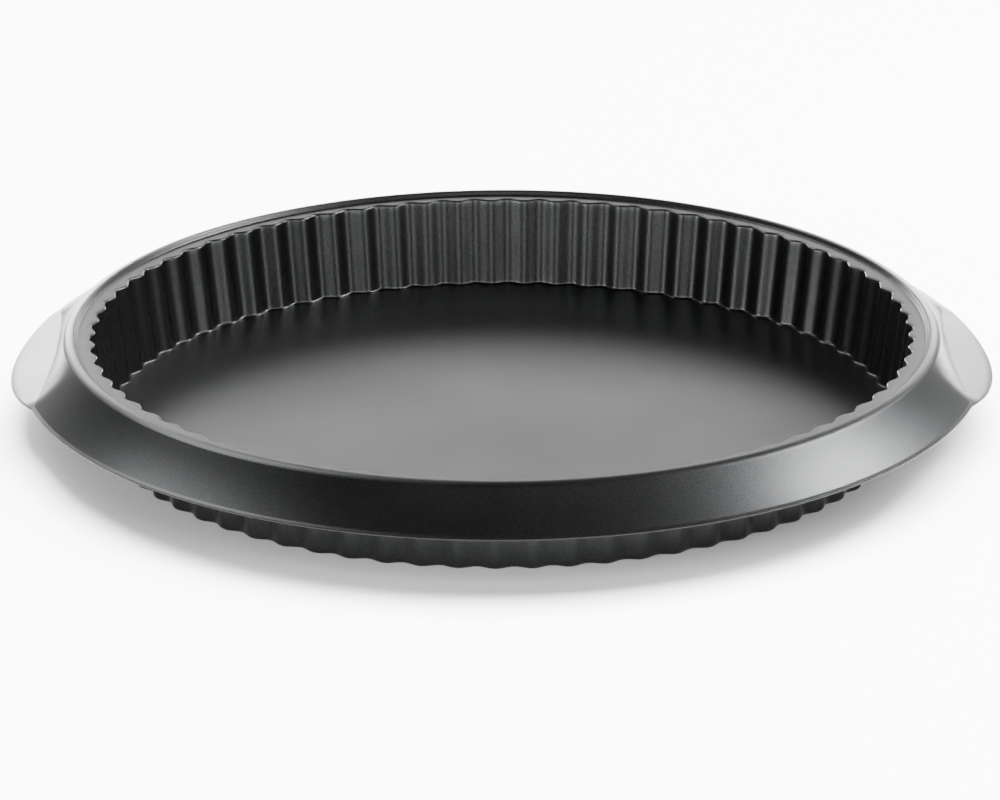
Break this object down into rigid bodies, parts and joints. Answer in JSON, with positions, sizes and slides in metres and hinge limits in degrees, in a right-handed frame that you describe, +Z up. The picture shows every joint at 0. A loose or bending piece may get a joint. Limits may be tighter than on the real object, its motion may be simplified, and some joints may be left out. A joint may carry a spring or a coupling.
{
  "type": "tart_pan",
  "caption": "Round fluted tart pan pressed from one coated steel sheet: flat floor, fluted wall, wide flat rim with a raised bead, sloping skirt and two grip tabs.",
  "frame": {"origin": "centre of the flat underside, on the pan's axis", "axes": "+Z is up, out of the open mouth. The two grip tabs lie along +X and -X. -Y is the side facing the viewer."},
  "size_m": [0.3354, 0.3278, 0.0339],
  "materials": {
    "coated_steel": "satin"
  },
  "bodies": {
    "root": {"base_plate": "coated_steel", "fluted_wall": "coated_steel", "rim_ring": "coated_steel", "rim_bead": "coated_steel", "skirt": "coated_steel", "grip_tab_right": "coated_steel", "grip_tab_left": "coated_steel"}
  },
  "joints": []
}
